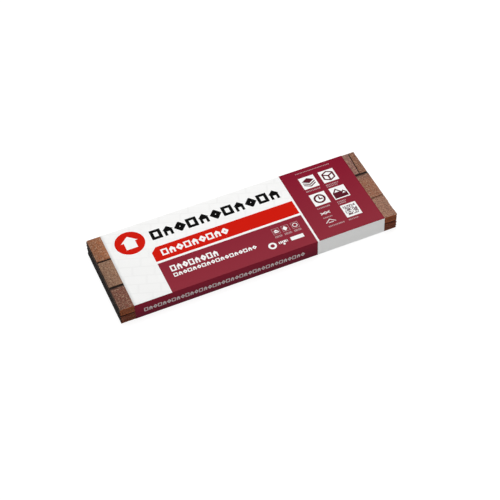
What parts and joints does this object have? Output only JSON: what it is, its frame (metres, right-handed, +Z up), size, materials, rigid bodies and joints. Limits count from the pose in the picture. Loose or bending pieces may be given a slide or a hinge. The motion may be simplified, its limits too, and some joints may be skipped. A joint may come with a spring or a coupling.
{
  "type": "asphalt shingle bundle",
  "caption": "Flat bundle of laminated asphalt roof shingles, held together by a printed paper sleeve that leaves both ends bare.",
  "frame": {"origin": "middle of the bundle's underside, on the floor it lies on", "axes": "+X along the bundle's length, +Y across it towards the long side that carries the sleeve's glued seam, +Z up through the stack"},
  "size_m": [1.003, 0.3352, 0.0662],
  "materials": {
    "asphalt_shingle": "matt mineral granules on bitumen",
    "printed_paper": "satin printed paper"
  },
  "bodies": {
    "root": {"shingle_01": "asphalt_shingle", "shingle_02": "asphalt_shingle", "shingle_03": "asphalt_shingle", "shingle_04": "asphalt_shingle", "shingle_05": "asphalt_shingle", "shingle_06": "asphalt_shingle", "shingle_07": "asphalt_shingle", "shingle_08": "asphalt_shingle", "shingle_09": "asphalt_shingle", "shingle_10": "asphalt_shingle", "shingle_11": "asphalt_shingle", "shingle_12": "asphalt_shingle", "shingle_13": "asphalt_shingle", "shingle_14": "asphalt_shingle", "paper_sleeve": "printed_paper"}
  },
  "joints": []
}
